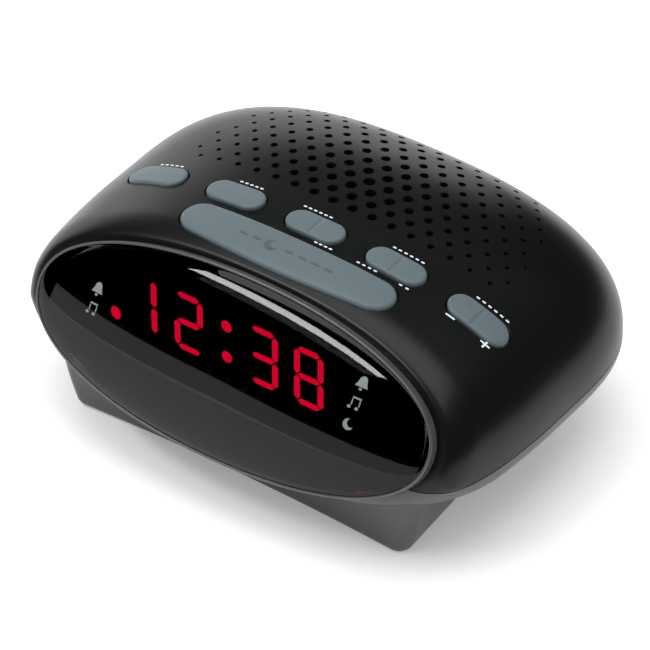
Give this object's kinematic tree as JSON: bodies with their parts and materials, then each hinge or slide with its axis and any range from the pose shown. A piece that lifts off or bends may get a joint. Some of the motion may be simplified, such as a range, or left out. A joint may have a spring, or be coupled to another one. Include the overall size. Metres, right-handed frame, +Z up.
{
  "type": "clock radio",
  "caption": "Black oval bedside clock radio with a domed smoked lens over a red LED display, grey-blue keys, a snooze bar and a perforated speaker grille.",
  "frame": {"origin": "centre of the bounding box in plan, on the surface that the rubber feet stand on", "axes": "+X to the right as a listener faces the display, which looks towards -Y; +Z up"},
  "size_m": [0.138, 0.1079, 0.0576],
  "materials": {
    "housing_plastic": "injection-moulded, fine spark-eroded grain",
    "lens_plastic": "polished smoke acrylic",
    "key_plastic": "grey-blue, satin",
    "rubber": "plain black",
    "circuit_board": "green solder resist",
    "red_filter": "clear red",
    "display_case": "moulded reflector block",
    "capacitor_sleeve": "shrink sleeve",
    "speaker_cone": "pressed paper",
    "ferrite": "fired ferrite",
    "core_steel": "varnished laminations",
    "winding_tape": "yellow polyester tape",
    "cell_jacket": "plain jacket",
    "component_plastic": "moulded",
    "bright_steel": "zinc plated"
  },
  "bodies": {
    "housing": {"alarm_led": "red_filter", "audio_chip": "component_plastic", "backup_cell_1": "cell_jacket", "backup_cell_2": "cell_jacket", "battery_contact_left": "bright_steel", "battery_contact_right": "bright_steel", "bottom_shell": "housing_plastic", "clock_chip": "component_plastic", "cord_gland": "rubber", "coupling_capacitor": "capacitor_sleeve", "crystal_can": "bright_steel", "display_board": "circuit_board", "display_filter": "red_filter", "filter_capacitor": "capacitor_sleeve", "foot_1": "rubber", "foot_2": "rubber", "foot_3": "rubber", "foot_4": "rubber", "front_frame": "housing_plastic", "front_lens": "lens_plastic", "housing_screw_1": "bright_steel", "housing_screw_2": "bright_steel", "housing_screw_3": "bright_steel", "housing_screw_4": "bright_steel", "key_board": "circuit_board", "key_board_screw_1": "bright_steel", "key_board_screw_2": "bright_steel", "led_display": "display_case", "main_board": "circuit_board", "mode_switch_1": "component_plastic", "sleep_switch_1": "component_plastic", "snooze_switch_1": "component_plastic", "snooze_switch_2": "component_plastic", "speaker_clip_left": "bright_steel", "speaker_clip_right": "bright_steel", "speaker_cone": "speaker_cone", "speaker_frame": "bright_steel", "speaker_magnet": "ferrite", "speaker_screw_1": "bright_steel", "speaker_screw_2": "bright_steel", "time_switch_1": "component_plastic", "time_switch_2": "component_plastic", "top_shell": "housing_plastic", "transformer_core": "core_steel", "transformer_screw_1": "bright_steel", "transformer_screw_2": "bright_steel", "transformer_winding": "winding_tape", "tuner_chip": "component_plastic", "tuning_switch_1": "component_plastic", "tuning_switch_2": "component_plastic", "volume_switch_1": "component_plastic", "volume_switch_2": "component_plastic"},
    "snooze_button": {"snooze_button": "key_plastic"},
    "mode_key": {"mode_key": "key_plastic"},
    "sleep_key": {"sleep_key": "key_plastic"},
    "time_rocker": {"time_rocker": "key_plastic"},
    "tuning_rocker": {"tuning_rocker": "key_plastic"},
    "volume_rocker": {"volume_rocker": "key_plastic"},
    "battery_door": {"battery_door": "housing_plastic"}
  },
  "joints": [
    {"name": "snooze_button_press", "type": "slide", "parent": "housing", "child": "snooze_button", "axis": [0, 0, -1], "range_m": [0, 0.0005], "stiffness_N_per_m": 1500, "springref_m": -0.0002},
    {"name": "mode_key_press", "type": "slide", "parent": "housing", "child": "mode_key", "axis": [0, 0, -1], "range_m": [0, 0.0005], "stiffness_N_per_m": 1500, "springref_m": -0.0002},
    {"name": "sleep_key_press", "type": "slide", "parent": "housing", "child": "sleep_key", "axis": [0, 0, -1], "range_m": [0, 0.0005], "stiffness_N_per_m": 1500, "springref_m": -0.0002},
    {"name": "time_rocker_tilt", "type": "hinge", "parent": "housing", "child": "time_rocker", "pos_m": [0, -0.007, 0.0527], "axis": [0, 1, 0], "range_deg": [-3, 3], "stiffness_Nm_per_rad": 0.03},
    {"name": "tuning_rocker_tilt", "type": "hinge", "parent": "housing", "child": "tuning_rocker", "pos_m": [0.024, -0.007, 0.0516], "axis": [0, 1, 0], "range_deg": [-3, 3], "stiffness_Nm_per_rad": 0.03},
    {"name": "volume_rocker_tilt", "type": "hinge", "parent": "housing", "child": "volume_rocker", "pos_m": [0.048, -0.007, 0.0468], "axis": [0, 1, 0], "range_deg": [-3, 3], "stiffness_Nm_per_rad": 0.03},
    {"name": "battery_door_slide", "type": "slide", "parent": "housing", "child": "battery_door", "axis": [0, 1, 0], "range_m": [0, 0.006]}
  ]
}
